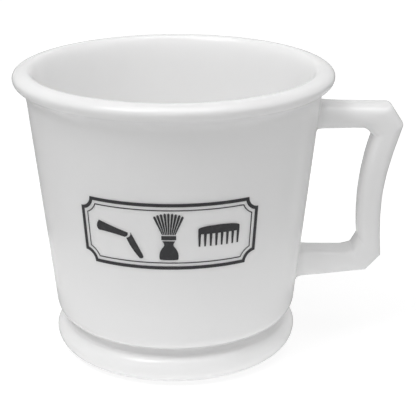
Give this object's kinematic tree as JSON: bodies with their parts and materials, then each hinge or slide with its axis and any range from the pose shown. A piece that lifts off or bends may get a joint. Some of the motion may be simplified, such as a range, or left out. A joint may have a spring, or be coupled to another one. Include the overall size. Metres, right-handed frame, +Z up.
{
  "type": "shaving mug",
  "caption": "White tapered shaving mug with a rolled rim, a cut-corner handle, a bulging ring foot and a printed plaque of barber's tools.",
  "frame": {"origin": "on the table, under the middle of the whole mug's box; the bowl's axis is 11.1 mm from it towards -X", "axes": "+Z up; +X from the bowl towards the handle; the printed plaque faces -Y"},
  "size_m": [0.1222, 0.1, 0.0916],
  "materials": {
    "body": "white glossy moulded plastic",
    "print": "dark charcoal printed ink"
  },
  "bodies": {
    "root": {"bowl": "body", "foot_ring": "body", "handle": "body", "print_border": "print", "print_brush": "print", "print_razor": "print", "print_comb": "print"}
  },
  "joints": []
}
